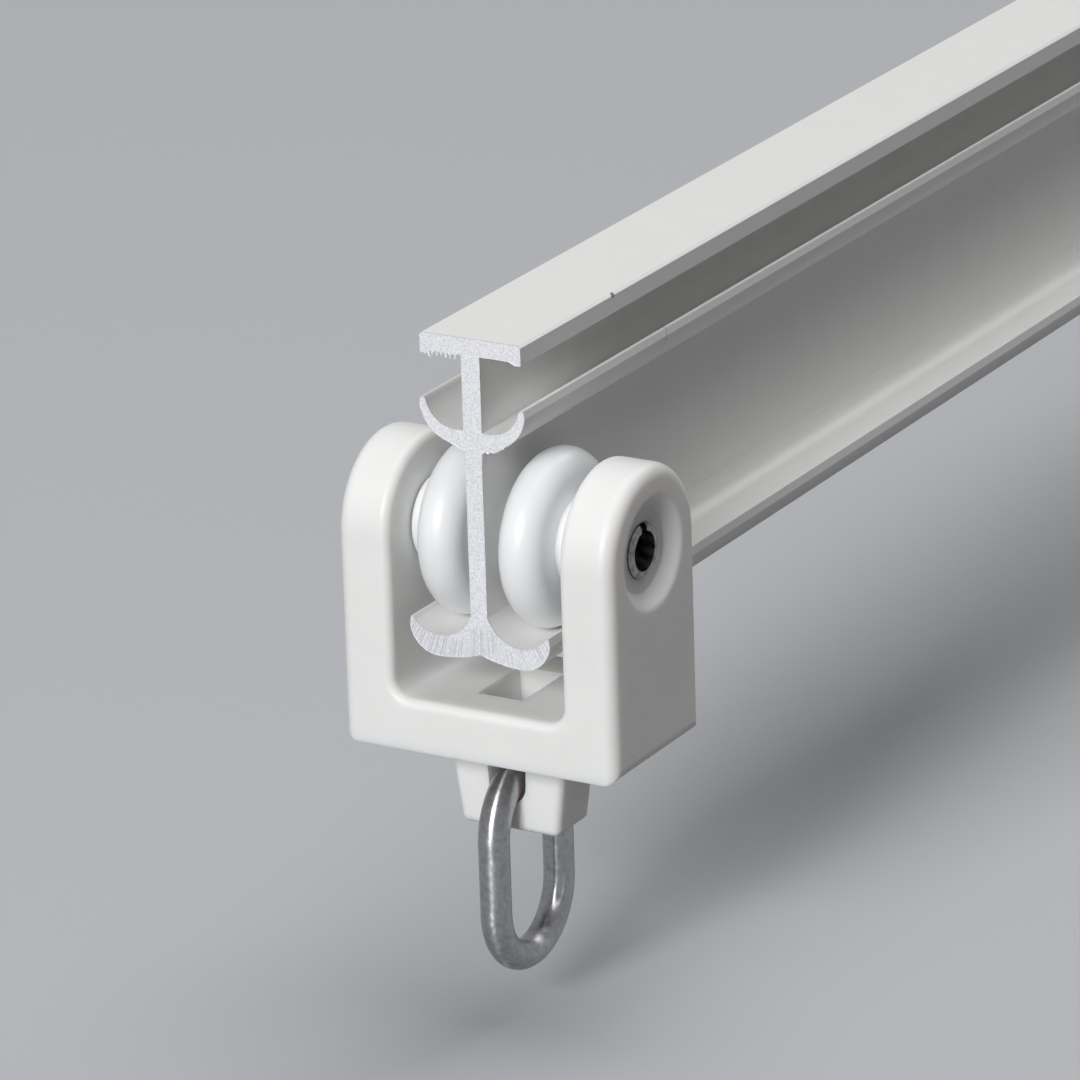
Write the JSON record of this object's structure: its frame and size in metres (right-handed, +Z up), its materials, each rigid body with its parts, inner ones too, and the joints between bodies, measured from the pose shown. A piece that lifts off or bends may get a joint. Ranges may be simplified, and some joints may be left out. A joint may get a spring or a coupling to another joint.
{
  "type": "curtain track with roller carrier",
  "caption": "Straight length of white I-section curtain track with a roller carrier straddling it from below and an oval wire ring hanging from the carrier.",
  "frame": {"origin": "on the middle line of the track's top face, straight above the carrier's axle at rest", "axes": "+X across the track, +Y along the track away from the visible saw cut, +Z up out of the top face"},
  "size_m": [0.0242, 0.2011, 0.0538],
  "materials": {
    "track_coat": "white satin powder coat on extruded aluminium, bare at the saw cuts",
    "yoke_plastic": "white moulded acetal, satin",
    "roller_plastic": "white moulded plastic, smooth",
    "pin_steel": "plated spring steel",
    "ring_chrome": "bright plated wire with fine scratches"
  },
  "bodies": {
    "track": {"track_profile": "track_coat"},
    "axles": {"axle_pin_left": "pin_steel", "axle_pin_right": "pin_steel"},
    "yoke": {"carrier_yoke": "yoke_plastic"},
    "left_roller": {"roller_left": "roller_plastic"},
    "right_roller": {"roller_right": "roller_plastic"},
    "ring": {"hook_ring": "ring_chrome"}
  },
  "joints": [
    {"name": "carrier_travel", "type": "slide", "parent": "track", "child": "axles", "axis": [0, 1, 0], "range_m": [-0.005, 0.193]},
    {"name": "carrier_rock", "type": "hinge", "parent": "axles", "child": "yoke", "pos_m": [0, 0, -0.0173], "axis": [1, 0, 0], "range_deg": [-22, 22]},
    {"name": "roller_left_spin", "type": "hinge", "parent": "axles", "child": "left_roller", "pos_m": [-0.0036, 0, -0.0173], "axis": [1, 0, 0], "continuous": true},
    {"name": "roller_right_spin", "type": "hinge", "parent": "axles", "child": "right_roller", "pos_m": [0.0036, 0, -0.0173], "axis": [1, 0, 0], "continuous": true},
    {"name": "ring_swing", "type": "hinge", "parent": "yoke", "child": "ring", "pos_m": [0, 0, -0.03708], "axis": [0, 1, 0], "range_deg": [-30, 30]}
  ],
  "couplings": [
    {"joint": "roller_left_spin", "follows": "carrier_travel", "rad_per_m": -140.85},
    {"joint": "roller_right_spin", "follows": "carrier_travel", "rad_per_m": -140.85}
  ]
}
